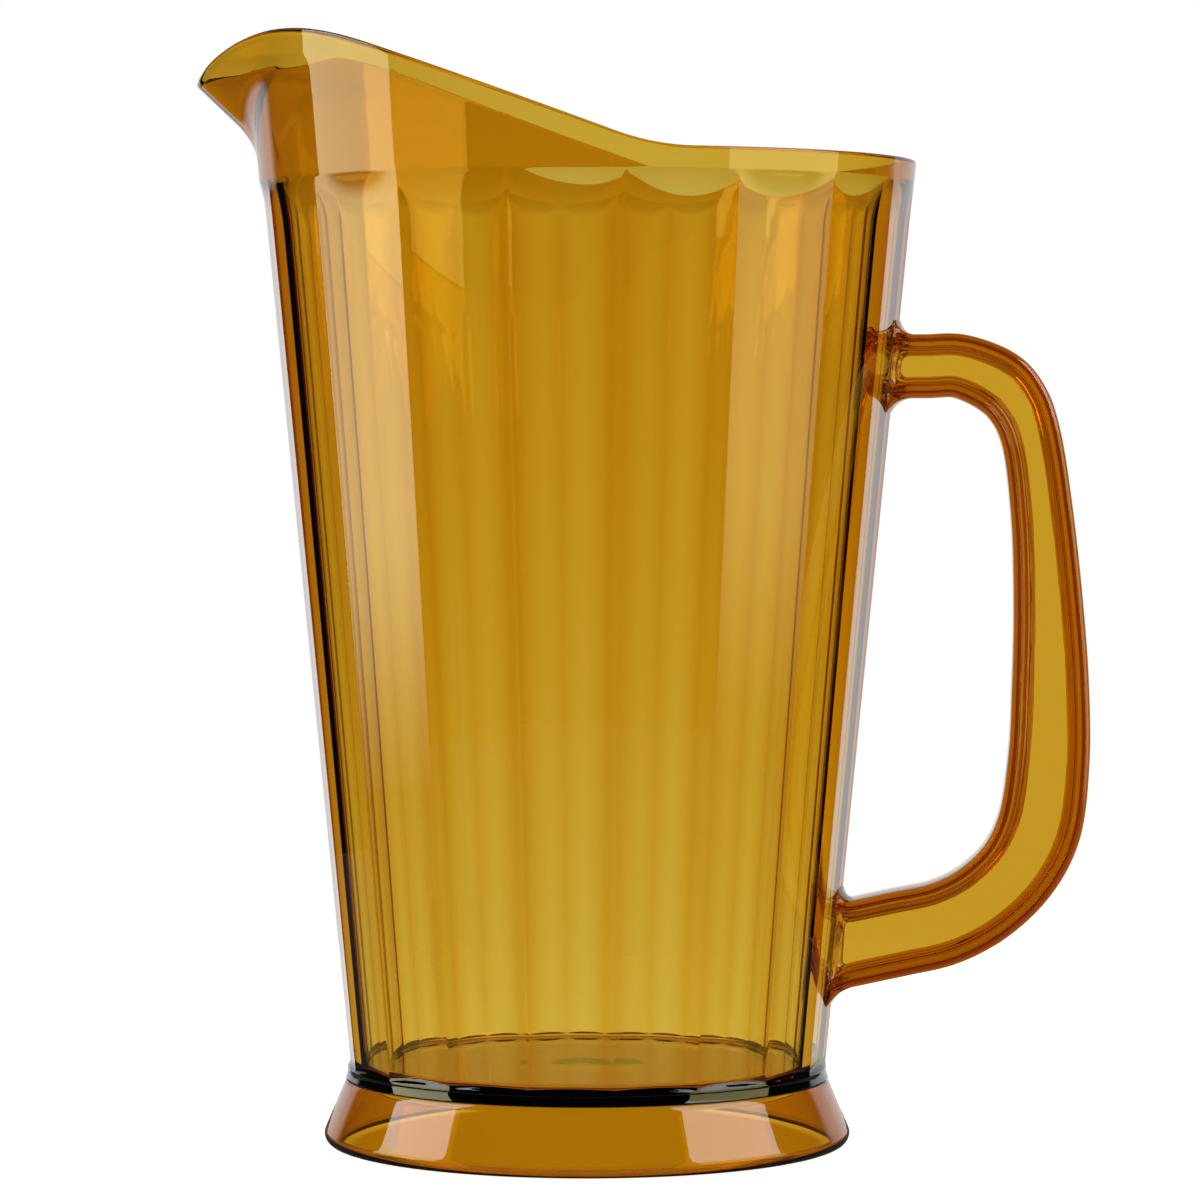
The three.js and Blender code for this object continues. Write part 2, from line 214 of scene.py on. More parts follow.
@dataclass
class RingMesh:
    """Builds a mesh from closed rings of points, each joined to the next, and from end points."""

    name: str
    points: list[np.ndarray] = field(default_factory=list)
    faces: list[tuple[int, ...]] = field(default_factory=list)
    count: int = 0

    def ring(self, points: np.ndarray) -> int:
        """Adds one ring of points.

        Args:
            points: Rows of x, y and z.

        Returns:
            The number of the ring's first point.
        """
        start = self.count
        self.points.append(points)
        self.count += len(points)
        return start

    def rings(self, stack: np.ndarray) -> tuple[int, int]:
        """Adds rings and joins each to the next.

        Args:
            stack: Points by ring, by place in the ring, by axis.

        Returns:
            The numbers of the first point of the first ring and of the last ring.
        """
        starts = [self.ring(points) for points in stack]
        for low, high in zip(starts, starts[1:]):
            self.join(low, high, stack.shape[1])
        return starts[0], starts[-1]

    def join(self, low: int, high: int, size: int) -> None:
        """Fills the band between two rings of the same size.

        Args:
            low: Number of the first ring's first point.
            high: Number of the second ring's first point.
            size: Number of points in each ring.
        """
        for i in range(size):
            j = (i + 1) % size
            self.faces.append((low + i, low + j, high + j, high + i))

    def close(self, start: int, size: int, point: np.ndarray, end: End) -> None:
        """Closes a ring with a fan to one point.

        Args:
            start: Number of the ring's first point.
            size: Number of points in the ring.
            point: The point in the middle of the fan.
            end: The end of the stack that the ring is at, which sets the side that faces out.
        """
        middle = self.ring(point.reshape(1, 3))
        for i in range(size):
            j = (i + 1) % size
            pair = (start + j, start + i) if end is End.FIRST else (start + i, start + j)
            self.faces.append((middle, *pair))

    def make(self, axis_x: float) -> bpy.types.Object:
        """Makes the Blender object, smooth shaded, in metres.

        Args:
            axis_x: Place of the vessel's axis along X, in metres.

        Returns:
            The object, linked to the scene.
        """
        mesh = bpy.data.meshes.new(self.name)
        points = np.concatenate(self.points) * MM + np.array([axis_x, 0, 0])
        mesh.from_pydata(points.tolist(), [], self.faces)
        mesh.shade_smooth()
        mesh.validate()
        obj = bpy.data.objects.new(self.name, mesh)
        bpy.context.scene.collection.objects.link(obj)
        return obj


@dataclass(frozen=True)
class AmberSan:
    """Styrene acrylonitrile, injection moulded in a polished tool.

    The eye gets a clear, glossy plastic that is dyed through: thin walls are golden, long ways through it
    are dark brown, and edges catch white light. Faint flow waves and rub marks keep it from being glass.
    The rub marks' main grain is coarser than real hairlines, so that it shows.
    """

    name: str
    clear: str = "#FFFFFF"
    dye: str = "#F6E53F"
    dye_per_metre: float = 1000.0
    ior: float = 1.57
    polish: float = 0.008
    rub: float = 0.013
    flow_wave_mm: float = 18.0
    flow_depth_mm: float = 0.02
    flow_detail: float = 1.0
    rub_grain_mm: float = 1.4
    rub_detail: float = 4.0
    rub_low: float = 0.35
    rub_high: float = 0.8

    def material(self) -> bpy.types.Material:
        """Builds the node material.

        Returns:
            The finished material.
        """
        material = bpy.data.materials.new(self.name)
        tree = empty_tree(material)
        place = add_node(tree, "ShaderNodeTexCoord").outputs["Object"]
        wave = add_node(
            tree, "ShaderNodeTexNoise",
            {"Vector": place, "Scale": 1 / (self.flow_wave_mm * MM), "Detail": self.flow_detail})
        grain = add_node(
            tree, "ShaderNodeTexNoise",
            {"Vector": place, "Scale": 1 / (self.rub_grain_mm * MM), "Detail": self.rub_detail})
        gloss = add_node(
            tree, "ShaderNodeMapRange",
            {"Value": grain.outputs["Fac"], "From Min": self.rub_low, "From Max": self.rub_high,
             "To Min": self.polish, "To Max": self.rub})
        bump = add_node(
            tree, "ShaderNodeBump",
            {"Height": wave.outputs["Fac"], "Strength": 1.0, "Distance": self.flow_depth_mm * MM})
        surface = add_node(
            tree, "ShaderNodeBsdfPrincipled",
            {"Base Color": linear(self.clear), "Transmission Weight": 1.0, "IOR": self.ior,
             "Roughness": gloss.outputs["Result"], "Normal": bump.outputs["Normal"]})
        inside = add_node(
            tree, "ShaderNodeVolumeAbsorption", {"Color": linear(self.dye), "Density": self.dye_per_metre})
        add_node(
            tree, "ShaderNodeOutputMaterial",
            {"Surface": surface.outputs["BSDF"], "Volume": inside.outputs["Volume"]})
        return material


@dataclass(frozen=True)
class VesselRings:
    """Where the points of the vessel's skin lie, and how many there are."""

    # Columns, in degrees from a ridge, and their number across a flat side
    near_ridge: tuple[float, ...] = (0, 0.1, 0.2, 0.3, 0.42, 0.7)
    across_side: int = 13

    # Underside, by radius
    gate_middle: float = 2.0
    gate_edge: float = 0.6
    under_start: float = 12.0
    under_margin: float = 0.4
    under_count: int = 10

    # Outside, by height
    bond_gap: float = 0.02
    waist_end: float = 26.0
    waist_count: int = 34
    side_start: float = 30.0
    side_end: float = 190.0
    side_count: int = 22
    cove_start: float = 192.0
    cove_count: int = 38

    # Band and rim
    shoulder_gap: float = 0.05
    band_count: int = 34
    corner_count: int = 6

    # Inside, by drop below the band, and the floor
    inner_gap: float = 0.1
    inner_cove: float = 14.0
    inner_cove_count: int = 20
    inner_start: float = 18.0
    inner_end: float = 24.0
    inner_count: int = 24
    fillet_gap: float = 0.3
    fillet_count: int = 9
    floor_shares: tuple[float, ...] = (0.9, 0.8, 0.65, 0.5, 0.35, 0.2, 0.08)

    # Search for the height at which a skin meets the rim's line
    search_below: float = 6.0
    search_above: float = 4.0
    search_steps: int = 40


@dataclass
class Vessel:
    """The fluted wall with its floor, band and spout, as one closed skin of rings about the axis."""

    axis_x: float
    finish: AmberSan
    points: VesselRings = VesselRings()

    # Flat sides and band
    flutes: int = 18
    rim_radius: float = 69.8
    rim_height: float = 208.45
    lean: float = math.tan(math.radians(5.6))
    band_height: float = 4.5
    cove_height: float = 9.5
    ridge_inset: float = 0.17
    ridge_round: float = 1.6

    # Thickness
    band_wall: float = 3.2
    body_wall: float = 3.6
    low_wall: float = 2.3
    wall_fall: float = 1.3
    wall_change: float = 12.0
    spout_wall: float = 4.2

    # Floor and waist
    bond_height: float = 14.03
    floor_height: float = 17.0
    floor_fillet: float = 2.0
    gate_radius: float = 7.0
    gate_depth: float = 0.06
    waist_top_radius: float = 51.49
    waist_fillet: float = 6.0
    waist_rise: float = 0.4
    waist_blend: float = 0.3
    foot_flare: float = FOOT_FLARE

    # Spout
    spout_reach: float = 83.4
    tip_rise: float = 16.95
    tip_reach: float = 0.4
    keel_slope: float = math.tan(math.radians(46.6))
    keel_round: float = 7.0
    flank: float = math.radians(54)
    flank_limit: float = 0.995
    least_keel: float = 1.0
    least_round: float = 0.5
    least_sine: float = 0.2
    spout_blend: float = 6.0
    blend_loss: float = 0.65
    blend_margin: float = 4.0

    # Line of the rim
    rim_corner: float = 0.45
    slope_start: float = 17.75
    slope_end: float = 40.0
    rim_slope: float = math.tan(math.radians(19.9))
    knee: float = 8.0
    crest_reach: float = 62.0
    crest_rise: float = 25.55
    crest_pull: float = 7.5
    lip_pull: float = 8.0
    lip_lean: float = math.radians(36)
    lip_end_pull: float = 5.1

    def __post_init__(self) -> None:
        """Works out the heights that several methods share."""
        self.shoulder_height = self.rim_height - self.band_height
        self.tip_height = self.rim_height + self.tip_rise
        self.crest_height = self.rim_height + self.crest_rise
        self.band_base = self.shoulder_height + self.points.shoulder_gap
        self.gate_height = self.bond_height + self.gate_depth
        self.half_flute = math.pi / self.flutes
        self.angles = self.columns()

    def columns(self) -> np.ndarray:
        """Angles of the columns of points, close together at the ridges.

        Returns:
            Angles in radians, rising from 0 at the handle's ridge.
        """
        pitch = 2 * self.half_flute
        near = np.radians(self.points.near_ridge)
        across = np.linspace(near[-1], pitch - near[-1], self.points.across_side)[1:-1]
        flute = np.concatenate([near, across, pitch - near[:0:-1]])
        return np.concatenate([flute + pitch * k for k in range(self.flutes)])

    def band_radius(self, z: np.ndarray) -> np.ndarray:
        """Outside radius of the band's cone."""
        return self.rim_radius + (z - self.rim_height) * self.lean

    def wall_at(self, z: np.ndarray) -> np.ndarray:
        """Wall from the band's cone inwards: even in the band, thickest below it and thinner to the floor.

        Args:
            z: Heights.

        Returns:
            Wall at each height.
        """
        below = self.shoulder_height - z
        fall = np.clip(below / (self.shoulder_height - self.floor_height), 0, 1)
        body = self.body_wall + (self.low_wall - self.body_wall) * fall**self.wall_fall
        return self.band_wall + (body - self.band_wall) * smooth_step(below, 0, self.wall_change)

    def flat_sides(self, angle: np.ndarray, apothem: np.ndarray) -> np.ndarray:
        """Radius of a flat-sided outline with rounded ridges.

        Args:
            angle: Angles from the handle's ridge.
            apothem: Distance of the flat sides from the axis.

        Returns:
            Radius at each angle.
        """
        pitch = 2 * self.half_flute
        off_ridge = np.abs((angle + self.half_flute) % pitch - self.half_flute)
        flat = apothem / np.cos(self.half_flute - off_ridge)
        centre = (apothem - self.ridge_round) / math.cos(self.half_flute)
        room = self.ridge_round**2 - (centre * np.sin(off_ridge)) ** 2
        ridge = centre * np.cos(off_ridge) + np.sqrt(np.maximum(room, 0))
        edge = np.arctan2(
            self.ridge_round * math.sin(self.half_flute),
            centre + self.ridge_round * math.cos(self.half_flute))
        return np.where(off_ridge < edge, ridge, flat)

    def spout(self, angle: np.ndarray, z: np.ndarray, wall: np.ndarray) -> np.ndarray:
        """Radius of the spout's wedge with its rounded keel.

        Args:
            angle: Angles from the handle's ridge.
            z: Heights.
            wall: Distance inwards from the outside skin.

        Returns:
            Radius at each angle and height.
        """
        off_keel = np.abs(angle - math.pi)
        keel = self.spout_reach + self.tip_reach + (z - self.tip_height) * self.keel_slope
        sharp = keel + self.keel_round * (1 / math.sin(self.flank) - 1)
        widest = self.flank_limit * self.band_radius(z) / np.maximum(sharp, self.least_keel)
        side = np.minimum(self.flank, np.arcsin(np.clip(widest, -1, 1)))
        tip = sharp - wall / np.sin(side)
        rounding = np.maximum(self.keel_round - wall, self.least_round)
        centre = tip - rounding / np.sin(side)
        turn = math.pi / 2 - side
        edge = np.arctan2(rounding * np.sin(turn), centre + rounding * np.cos(turn))
        room = rounding**2 - (centre * np.sin(off_keel)) ** 2
        arc = centre * np.cos(off_keel) + np.sqrt(np.maximum(room, 0))
        straight = tip * np.sin(side) / np.maximum(np.sin(side + off_keel), self.least_sine)
        reach = np.where(off_keel < edge, arc, straight)
        past = np.maximum(off_keel - turn, 0)
        return np.where(past > 0, tip * np.sin(side) * np.cos(np.minimum(past, math.pi / 2)), reach)

    def waist_radius(self, z: np.ndarray) -> np.ndarray:
        """Outside radius of the round waist above the foot, hollowed in towards the wall.

        Args:
            z: Heights.

        Returns:
            Radius at each height.
        """
        flare = math.radians(self.foot_flare)
        centre_r = self.waist_top_radius + self.waist_fillet * math.cos(flare)
        centre_z = self.bond_height + self.waist_fillet * math.sin(flare)
        off = np.clip(z - centre_z, -self.waist_fillet, self.waist_rise)
        hollow = centre_r - np.sqrt(self.waist_fillet**2 - off**2)
        above = z - centre_z - self.waist_rise
        return np.where(above > 0, hollow - above, hollow)

    def outside(self, angle: np.ndarray, z: np.ndarray) -> np.ndarray:
        """Outside radius of the vessel.

        Args:
            angle: Angles from the handle's ridge.
            z: Heights.

        Returns:
            Radius at each angle and height.
        """
        band = self.band_radius(z)
        apothem = (band - self.ridge_inset) * math.cos(self.half_flute)
        wall = smooth_max(self.flat_sides(angle, apothem), self.waist_radius(z), self.waist_blend)
        depth = np.clip((self.shoulder_height - z) / self.cove_height, 0, 1)
        body = wall + (band - wall) * (1 - depth) ** 2
        upper = smooth_max(band, self.spout(angle, z, np.zeros_like(z)), self.blend_at(z))
        return np.where(z > self.shoulder_height, upper, body)

    def inside(self, angle: np.ndarray, z: np.ndarray) -> np.ndarray:
        """Inside radius of the vessel.

        Args:
            angle: Angles from the handle's ridge.
            z: Heights.

        Returns:
            Radius at each angle and height.
        """
        cone = self.band_radius(z) - self.wall_at(z)
        lip = self.spout(angle, z, np.full_like(z, self.spout_wall))
        upper = smooth_max(cone, lip, self.blend_at(z))
        return np.where(z > self.shoulder_height, upper, cone)

    def blend_at(self, z: np.ndarray) -> np.ndarray:
        """Width of the blend between band and spout, wide at the keel's foot and narrow at the rim."""
        rise = smooth_step(z, self.shoulder_height, self.crest_height - self.blend_margin)
        return self.spout_blend * (1 - self.blend_loss * rise)

    def slope_height(self, x: float) -> float:
        """Height of the rim's straight slope at a distance from the axis."""
        return self.rim_height + (self.slope_start - x) * self.rim_slope

    def rim_line(self, x: np.ndarray) -> np.ndarray:
        """Height of the rim's line in side view.

        Args:
            x: Distances from the axis, positive towards the handle.

        Returns:
            Height of the line at each distance.
        """
        far = 2 * self.spout_reach
        start, end, crest = self.slope_start, -self.slope_end, -self.crest_reach
        sine, cosine = math.sin(self.lip_lean), math.cos(self.lip_lean)
        tip = (-self.spout_reach, self.tip_height)
        knee = bezier(
            (start + self.knee, self.rim_height), (start, self.rim_height),
            (start - self.knee, self.slope_height(start - self.knee)))
        shoulder = bezier(
            (end, self.slope_height(end)),
            (end - self.crest_pull, self.slope_height(end - self.crest_pull)),
            (crest + self.crest_pull, self.crest_height), (crest, self.crest_height))
        lip = bezier(
            (crest, self.crest_height), (crest - self.lip_pull, self.crest_height),
            (tip[0] + self.lip_end_pull * sine, tip[1] + self.lip_end_pull * cosine), tip)
        beyond = (tip[0] - far * sine, tip[1] - far * cosine)
        line = np.concatenate([[(far, self.rim_height)], knee, shoulder, lip, [beyond]])
        return np.interp(-x, -line[:, 0], line[:, 1])

    def rim_heights(self, radius_of: Skin) -> np.ndarray:
        """Height at which a skin meets the rim's line, for each column.

        Args:
            radius_of: The method that gives the skin's radius.

        Returns:
            Height for each column.
        """
        low = np.full_like(self.angles, self.rim_height - self.points.search_below)
        high = np.full_like(self.angles, self.crest_height + self.points.search_above)
        for _ in range(self.points.search_steps):
            middle = (low + high) / 2
            x = radius_of(self.angles, middle) * np.cos(self.angles)
            above = middle > self.rim_line(x)
            high = np.where(above, middle, high)
            low = np.where(above, low, middle)
        return (low + high) / 2

    def place(self, radius: np.ndarray, z: np.ndarray) -> np.ndarray:
        """Points of one ring from its radius and height in each column."""
        return np.column_stack([radius * np.cos(self.angles), radius * np.sin(self.angles), z])

    def level_rings(self, radius_of: Skin, levels: np.ndarray) -> list[np.ndarray]:
        """Level rings of a skin, one for each height."""
        ones = np.ones_like(self.angles)
        return [self.place(radius_of(self.angles, z * ones), z * ones) for z in levels]

    def underside(self) -> list[np.ndarray]:
        """Rings of the underside, from the gate mark out to the waist.

        Returns:
            The rings in order.
        """
        points = self.points
        ones = np.ones_like(self.angles)
        section = [
            (points.gate_middle, self.gate_height),
            (self.gate_radius - points.gate_edge, self.gate_height),
            (self.gate_radius, self.bond_height)]
        edge = self.waist_top_radius - points.under_margin
        radii = np.linspace(points.under_start, edge, points.under_count)
        section += [(r, self.bond_height) for r in radii]
        return [self.place(r * ones, z * ones) for r, z in section]

    def outer_wall(self) -> list[np.ndarray]:
        """Rings of the outside, from the waist up to the shoulder under the band.

        Returns:
            The rings in order.
        """
        points = self.points
        waist = np.linspace(self.bond_height + points.bond_gap, points.waist_end, points.waist_count)
        side = np.linspace(points.side_start, points.side_end, points.side_count)
        cove = np.linspace(points.cove_start, self.shoulder_height - points.shoulder_gap, points.cove_count)
        return self.level_rings(self.outside, np.concatenate([waist, side, cove]))

    def band(self, radius_of: Skin, rim: np.ndarray, shares: np.ndarray) -> list[np.ndarray]:
        """Rings of one skin of the band and the spout.

        Args:
            radius_of: The method that gives the skin's radius.
            rim: Height of the rim in each column.
            shares: Place of each ring, from 0 at the shoulder to 1 at the rim's corner.

        Returns:
            The rings in order.
        """
        room = rim - self.rim_corner - self.band_base
        heights = [self.band_base + room * share for share in shares]
        return [self.place(radius_of(self.angles, z), z) for z in heights]

    def rim_edge(
        self, radius_of: Skin, rim: np.ndarray, edge: RimEdge, turns: np.ndarray
    ) -> list[np.ndarray]:
        """Rings of one rounded edge of the rim.

        Args:
            radius_of: The method that gives the skin's radius.
            rim: Height of the rim in each column.
            edge: The edge, outer or inner.
            turns: Angle of each ring round the edge, from 0 at the wall to a right angle on top.

        Returns:
            The rings in order.
        """
        corner = self.rim_corner
        radius = radius_of(self.angles, rim - corner)
        rings = []
        for turn in turns:
            inwards = edge.value * corner * (1 - math.cos(turn))
            rings.append(self.place(radius - inwards, rim - corner * (1 - math.sin(turn))))
        return rings

    def inner_wall(self) -> list[np.ndarray]:
        """Rings of the inside, from the shoulder down to the fillet at the floor.

        Returns:
            The rings in order.
        """
        points, base = self.points, self.band_base
        cove = np.linspace(base - points.inner_gap, base - points.inner_cove, points.inner_cove_count)
        side = np.linspace(base - points.inner_start, points.inner_end, points.inner_count)
        last = self.floor_height + self.floor_fillet + points.fillet_gap
        return self.level_rings(self.inside, np.concatenate([cove, side, [last]]))

    def floor(self) -> list[np.ndarray]:
        """Rings of the fillet and of the floor, towards the middle.

        Returns:
            The rings in order.
        """
        ones = np.ones_like(self.angles)
        radius = self.inside(self.angles, (self.floor_height + self.floor_fillet) * ones)
        rings = []
        for turn in np.radians(np.linspace(0, 90, self.points.fillet_count)):
            z = self.floor_height + self.floor_fillet * (1 - math.sin(turn))
            rings.append(self.place(radius - self.floor_fillet * (1 - math.cos(turn)), z * ones))
        for share in self.points.floor_shares:
            rings.append(self.place((radius - self.floor_fillet) * share, self.floor_height * ones))
        return rings

    def build(self) -> bpy.types.Object:
        """Builds the skin from the underside's middle, up the outside, over the rim and down the inside.

        Returns:
            The vessel's object.
        """
        rim_out, rim_in = self.rim_heights(self.outside), self.rim_heights(self.inside)
        turns = np.radians(np.linspace(0, 90, self.points.corner_count))
        stack = [
            *self.underside(),
            *self.outer_wall(),
            *self.band(self.outside, rim_out, np.linspace(0, 1, self.points.band_count)),
            *self.rim_edge(self.outside, rim_out, RimEdge.OUTER, turns[1:]),
            *self.rim_edge(self.inside, rim_in, RimEdge.INNER, turns[:0:-1]),
            *self.band(self.inside, rim_in, np.linspace(1, 0, self.points.band_count)),
            *self.inner_wall(),
            *self.floor(),
        ]
        skin = RingMesh("vessel_skin")
        first, last = skin.rings(np.array(stack))
        skin.close(first, len(self.angles), np.array([0, 0, self.gate_height]), End.FIRST)
        skin.close(last, len(self.angles), np.array([0, 0, self.floor_height]), End.LAST)
        return skin.make(self.axis_x)

    def dress(self) -> bpy.types.Object:
        """Builds the vessel, gives it its finish and its body, and hides the imported node that it stands
        for.
        """
        return settle(self.build(), self.finish, Node.VESSEL)


@dataclass
class FootRing:
    """The flared, hollow foot, turned from one closed outline."""

    axis_x: float
    finish: AmberSan
    height: float = 13.97
    radius: float = 56.0
    flare: float = FOOT_FLARE
    edge: float = 2.2
    inner_edge: float = 0.8
    wall: float = 3.9
    top_edge: float = 0.15
    columns: int = 216
    edge_steps: int = 20
    inner_steps: int = 8
    side_points: int = 12

    def outline(self) -> np.ndarray:
        """The foot's section, from the inner bottom edge up the outside, over the top and down the inside.

        Returns:
            One row of radius and height for each point.
        """
        lean = math.radians(self.flare)
        outer = arc_points(
            (self.radius - self.edge, self.edge), self.edge, -90, self.flare, self.edge_steps)
        start = outer[-1]
        top = start[0] - (self.height - start[1]) * math.tan(lean)
        sharp = start[0] + start[1] * math.tan(lean) - self.wall
        nose = sharp - self.inner_edge * (math.tan(lean) - 1 / math.cos(lean))
        low = arc_points(
            (nose, self.inner_edge), self.inner_edge, 180 + self.flare, 270, self.inner_steps)
        rise = np.linspace(0, 1, self.side_points)[1:, None]
        side = start + (np.array([top, self.height - self.top_edge]) - start) * rise
        lid = np.array([(top - inset, self.height) for inset in (self.top_edge, self.wall / 2, self.wall)])
        drop = np.linspace(lid[-1], low[0], self.side_points)[1:-1]
        return np.concatenate([low, outer, side, lid, drop])

    def build(self) -> bpy.types.Object:
        """Turns the outline about the axis.

        Returns:
            The foot's object.
        """
        outline = self.outline()
        angles = np.linspace(2 * math.pi, 0, self.columns, endpoint=False)
        turned = [[(r * math.cos(a), r * math.sin(a), z) for r, z in outline] for a in angles]
        foot = RingMesh("foot_ring_skin")
        first, last = foot.rings(np.array(turned))
        foot.join(last, first, len(outline))
        return foot.make(self.axis_x)

    def dress(self) -> bpy.types.Object:
        """Builds the foot, gives it its finish and its body, and hides the imported node that it stands
        for.
        """
        return settle(self.build(), self.finish, Node.FOOT)


@dataclass
class Handle:
    """The loop handle of I section: a skin of rings along its middle line, flared at the wall.

    Each point of the line is its distance out from the wall, its height and the handle's depth there.
    """

    vessel: Vessel
    finish: AmberSan
    line: tuple[tuple[float, float, float], ...] = (
        (6.7, 165.2, 13.5), (13.7, 165.2, 13.5), (22.6, 161.5, 14.1), (27.0, 156.9, 13.5),
        (30.2, 150.2, 12.7), (34.0, 134.8, 13.1), (37.3, 115.6, 14.6), (39.5, 98.4, 16.2),
        (40.8, 82.0, 17.2), (40.1, 67.4, 17.8), (36.5, 58.7, 17.5), (29.8, 51.6, 17.5),
        (22.1, 47.4, 17.8), (12.5, 45.1, 18.0))

    # Section
    width: float = 14.0
    web: float = 4.0
    top_flange: float = 4.2
    low_flange: float = 4.4
    round: float = 1.7
    draft: float = 2.5
    draft_start: float = 0.1
    draft_power: int = 3
    recess_lip: float = 0.22
    lip_start: float = -0.15
    lip_end: float = 0.25

    # Roots
    line_inset: float = 0.28
    root_flare: float = 4.2
    side_flare: float = 1.0
    flare_edge: float = 0.18
    root_reach: float = 12.0
    recess_end: float = 1.2
    top_end_round: float = 2.0
    low_end_round: float = 1.6
    bond_gap: float = 0.06

    # Points of the skin
    line_steps: int = 14
    face_points: int = 5
    corner_steps: int = 7
    cheek_points: int = 46
    root_rings: int = 44
    trial_depth: float = 20.0

    def ridge(self, z: np.ndarray) -> np.ndarray:
        """Radius of the wall's ridge at a height."""
        return self.vessel.band_radius(z) - self.vessel.ridge_inset

    def path(self) -> tuple[np.ndarray, np.ndarray]:
        """The middle line between the two roots, as a smooth curve through its points.

        Returns:
            Rows of x, z and depth, and the direction of the line at each row.
        """
        p = np.array([
            (self.vessel.band_radius(z) - self.line_inset + out, z, depth) for out, z, depth in self.line])
        p = np.vstack([2 * p[0] - p[1], p, 2 * p[-1] - p[-2]])
        gaps = np.linalg.norm(np.diff(p, axis=0), axis=1) ** 0.5
        rows, ways = [], []
        for i in range(1, len(p) - 2):
            d0, d1, d2 = gaps[i - 1 : i + 2]
            m1 = ((p[i] - p[i - 1]) / d0 - (p[i + 1] - p[i - 1]) / (d0 + d1) + (p[i + 1] - p[i]) / d1) * d1
            m2 = ((p[i + 1] - p[i]) / d1 - (p[i + 2] - p[i]) / (d1 + d2) + (p[i + 2] - p[i + 1]) / d2) * d1
            t = np.linspace(0, 1, self.line_steps, endpoint=False)[:, None]
            rows.append(
                (2 * t**3 - 3 * t**2 + 1) * p[i] + (t**3 - 2 * t**2 + t) * m1
                + (3 * t**2 - 2 * t**3) * p[i + 1] + (t**3 - t**2) * m2)
            ways.append(
                (6 * t**2 - 6 * t) * p[i] + (3 * t**2 - 4 * t + 1) * m1
                + (6 * t - 6 * t**2) * p[i + 1] + (3 * t**2 - 2 * t) * m2)
        rows.append(p[-2][None])
        ways.append(ways[-1][-1:])
        way = np.concatenate(ways)[:, :2]
        return np.concatenate(rows), way / np.linalg.norm(way, axis=1)[:, None]

    def half_width(
        self, v: np.ndarray, depth: float, flange: float, gap: float, end_round: float
    ) -> np.ndarray:
        """Half the handle's width at places across its depth.

        Args:
            v: Places across the depth, 0 in the middle.
            depth: Depth of the section.
            flange: Thickness of the flanges.
            gap: Distance to the wall along the arm.
            end_round: Corner rounding of the recess at its end.

        Returns:
            Half width at each place.
        """
        half = depth / 2 - flange
        across = np.abs(v) - (half - end_round)
        along = self.recess_end + end_round - gap
        outside = np.hypot(np.maximum(along, 0), np.maximum(across, 0))
        inside = np.minimum(np.maximum(along, across), 0)
        beyond = outside + inside - end_round
        step = self.recess_lip * smooth_step(beyond, self.lip_start, self.lip_end)
        climb = np.clip((beyond - self.draft_start) / self.draft, 0, 1)
        slope = (1 - self.recess_lip) * climb**self.draft_power
        return self.web / 2 + (self.width - self.web) / 2 * (step + slope)

    def section(self, depth: float, flange: float, gap: float, end_round: float) -> np.ndarray:
        """One closed outline across the handle.

        Args:
            depth: Depth of the section.
            flange: Thickness of the flanges.
            gap: Distance to the wall along the arm.
            end_round: Corner rounding of the recess at its end.

        Returns:
            Rows of place across the depth and place across the width.
        """
        half, side = depth / 2, self.width / 2
        flat = side - self.round
        face = np.column_stack([
            np.full(self.face_points, half), np.linspace(-flat, flat, self.face_points)])
        corner = arc_points((flat, half - self.round), self.round, 90, 0, self.corner_steps)[1:, ::-1]
        v = np.linspace(half - self.round, -(half - self.round), self.cheek_points)
        cheek = np.column_stack([v, self.half_width(v, depth, flange, gap, end_round)])
        low_corner = corner[::-1] * np.array([-1, 1])
        right = np.concatenate([corner[:-1], cheek, low_corner[1:]])
        low_face = face[::-1] * np.array([-1, 1])
        left = right[::-1] * np.array([1, -1])
        return np.concatenate([face, right, low_face, left])

    def root(self, start: np.ndarray, way: np.ndarray, flange: float, end_round: float) -> np.ndarray:
        """Rings from an arm's end to the wall, flared and seated on the two flats beside the ridge.

        Args:
            start: X, z and depth where the arm's root starts.
            way: Direction along the arm towards the wall.
            flange: Thickness of the flanges.
            end_round: Corner rounding of the recess at its end.

        Returns:
            Points by ring, from the arm to the wall.
        """
        normal = np.array([-way[1], way[0]])
        notch = math.tan(self.vessel.half_flute)
        closing = way[0] - way[1] * self.vessel.lean
        reach = (self.ridge(start[1]) + self.bond_gap - start[0]) / closing
        rings = []
        for gap in reach * np.linspace(1, 0, self.root_rings)[1:]:
            outline = self.section(start[2], flange, gap, end_round)
            swell = self.flare_at(gap, self.root_flare)
            v = outline[:, 0] * (1 + swell / (start[2] / 2))
            y = outline[:, 1] * (1 + self.flare_at(gap, self.side_flare) / (self.width / 2))
            x = start[0] + way[0] * (reach - gap) + normal[0] * v
            z = start[1] + way[1] * (reach - gap) + normal[1] * v
            to_wall = (self.ridge(z) + self.bond_gap - notch * np.abs(y) - x) / closing - gap
            shift = to_wall * (1 - gap / reach)
            rings.append(np.column_stack([x + way[0] * shift, y, z + way[1] * shift]))
        return np.array(rings)

    def flare_at(self, gap: float, size: float) -> float:
        """How far a rounded flare stands out at a distance from the wall, with a blunt edge at the wall."""
        near = max(size - max(gap, self.flare_edge), 0)
        return size - math.sqrt(size**2 - near**2)

